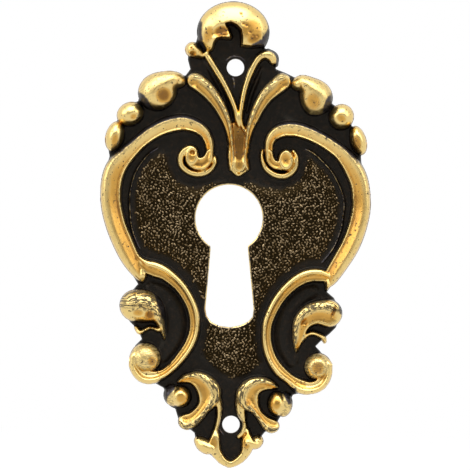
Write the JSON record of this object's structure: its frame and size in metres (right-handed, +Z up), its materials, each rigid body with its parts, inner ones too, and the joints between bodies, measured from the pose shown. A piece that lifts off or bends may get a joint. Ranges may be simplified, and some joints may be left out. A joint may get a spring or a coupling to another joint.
{
  "type": "keyhole escutcheon",
  "caption": "Rococo keyhole plate for cabinets and drawers: pierced cast brass with carved scrolls, shells and leaves, a stippled ground and pin holes at top and bottom.",
  "frame": {"origin": "midpoint of the two pin holes, on the flat back plane", "axes": "+X to the right of someone facing the plate, +Y back into the wood, +Z up; the carved front faces -Y"},
  "size_m": [0.0372, 0.0048, 0.0639],
  "materials": {
    "brass": "polished high spots over a dark patina"
  },
  "bodies": {
    "root": {"escutcheon": "brass"}
  },
  "joints": []
}
